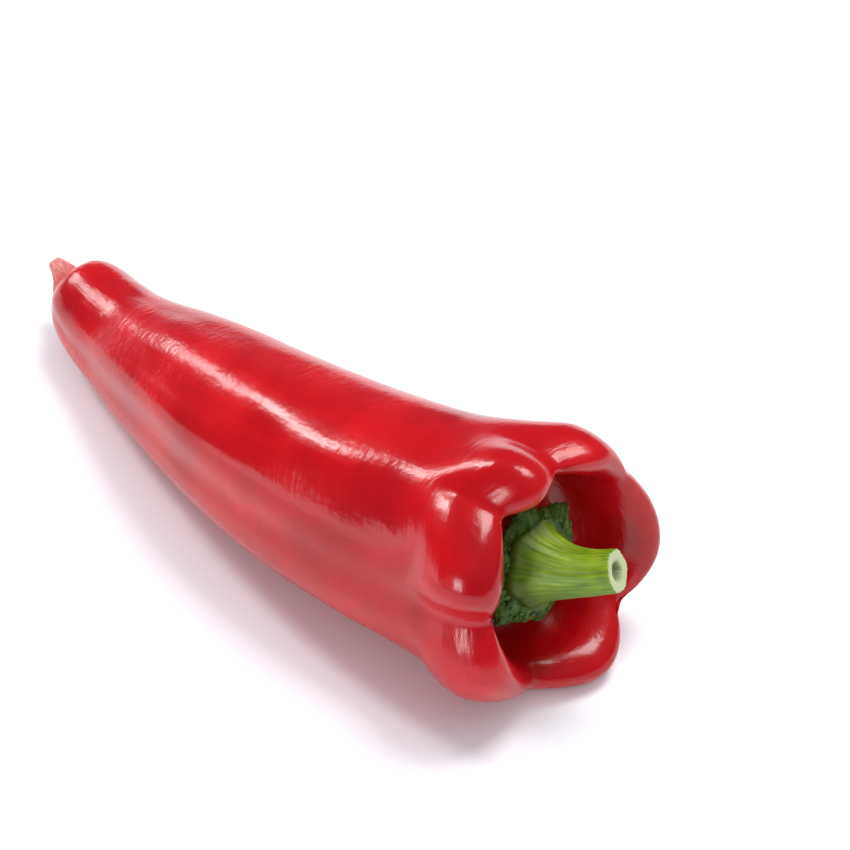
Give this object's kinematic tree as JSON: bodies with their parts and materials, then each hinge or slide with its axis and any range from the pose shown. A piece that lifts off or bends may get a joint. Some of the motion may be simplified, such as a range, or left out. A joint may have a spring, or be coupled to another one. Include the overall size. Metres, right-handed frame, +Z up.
{
  "type": "capia pepper",
  "caption": "Long tapered red sweet pepper lying on its side, with a lobed rim round a sunken calyx and a short cut stem.",
  "frame": {"origin": "on the surface the pepper lies on, under the middle of its box", "axes": "+X from the tip towards the stem end, +Z up from the surface"},
  "size_m": [0.1744, 0.0632, 0.0588],
  "materials": {
    "skin": "smooth waxy red pepper skin, very glossy, with faint lengthwise streaks",
    "calyx": "dark green leathery collar, wrinkled and half matte",
    "stem": "ribbed green stem with fine lengthwise fibres, pale at the cut face"
  },
  "bodies": {
    "root": {"fruit": "skin", "calyx": "calyx", "stem": "stem"}
  },
  "joints": []
}
